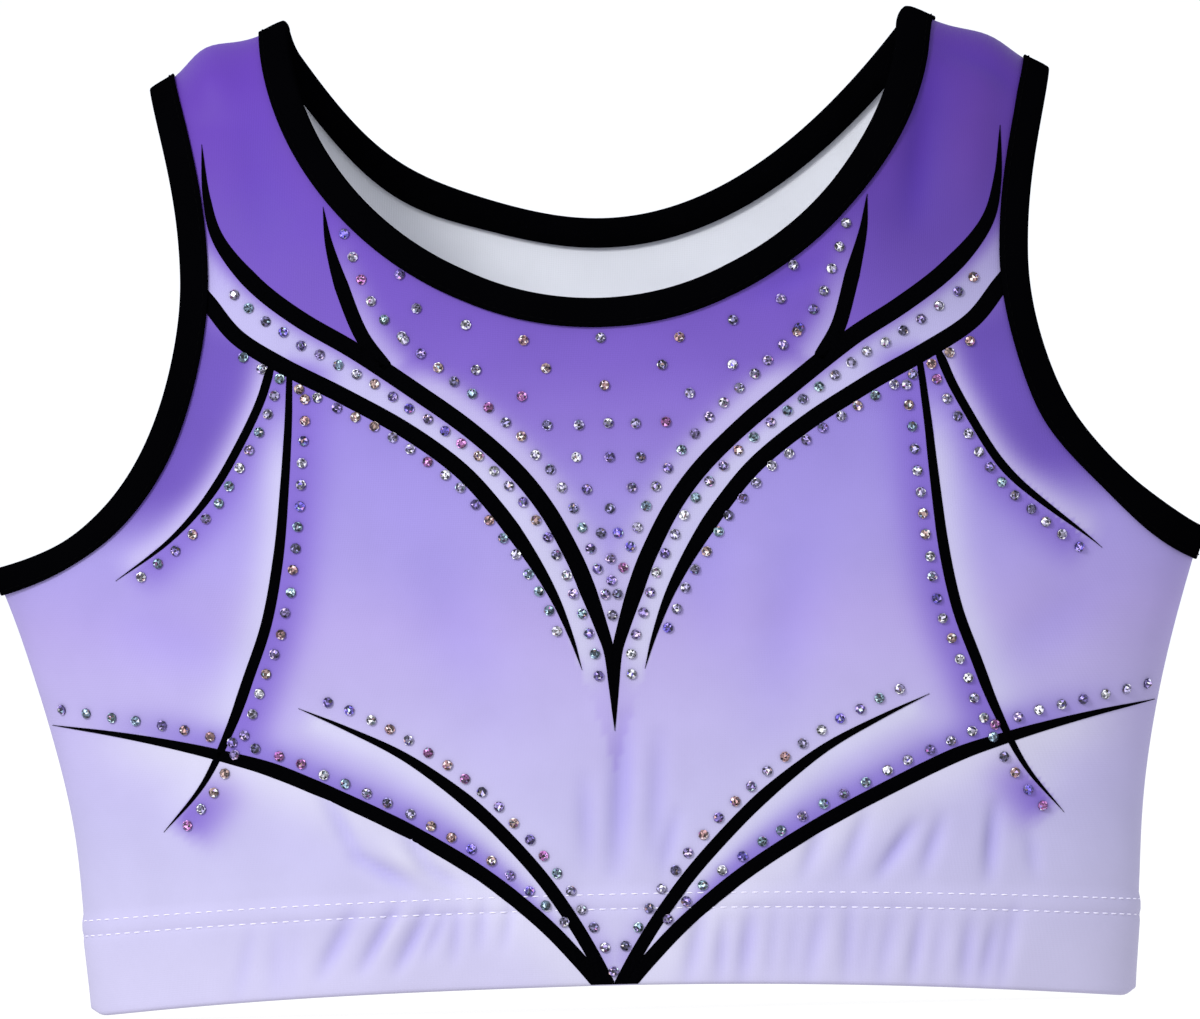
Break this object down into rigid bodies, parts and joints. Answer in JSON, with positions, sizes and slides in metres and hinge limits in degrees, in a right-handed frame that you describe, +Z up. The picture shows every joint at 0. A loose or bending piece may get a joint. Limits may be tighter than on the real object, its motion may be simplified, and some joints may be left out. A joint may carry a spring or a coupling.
{
  "type": "gymnastics crop top",
  "caption": "Sleeveless stretch crop top with front and back panels, bound neck and armholes, and a turned elastic hem, opened as worn.",
  "frame": {"origin": "middle of the garment's footprint, on the plane that the hem rests on", "axes": "+Z up from hem to shoulders, front of the garment towards -Y, +X to the right as seen from the front"},
  "size_m": [0.389, 0.1044, 0.3188],
  "materials": {
    "printed_fabric": "smooth knit with a low sheen, printed from violet to pale lavender",
    "lining": "matt knit",
    "binding": "matt black knit",
    "elastic": "matt",
    "seam": "overlocked thread",
    "tape": "clear stay tape",
    "label": "blank satin"
  },
  "bodies": {
    "root": {"front_panel": "printed_fabric", "back_panel": "printed_fabric", "front_lining": "lining", "neck_binding": "binding", "left_armhole_binding": "binding", "right_armhole_binding": "binding", "neck_elastic": "elastic", "hem_elastic": "elastic", "left_armhole_elastic": "elastic", "right_armhole_elastic": "elastic", "left_side_seam": "seam", "right_side_seam": "seam", "left_shoulder_seam": "seam", "right_shoulder_seam": "seam", "left_shoulder_tape": "tape", "right_shoulder_tape": "tape", "care_label": "label"}
  },
  "joints": []
}
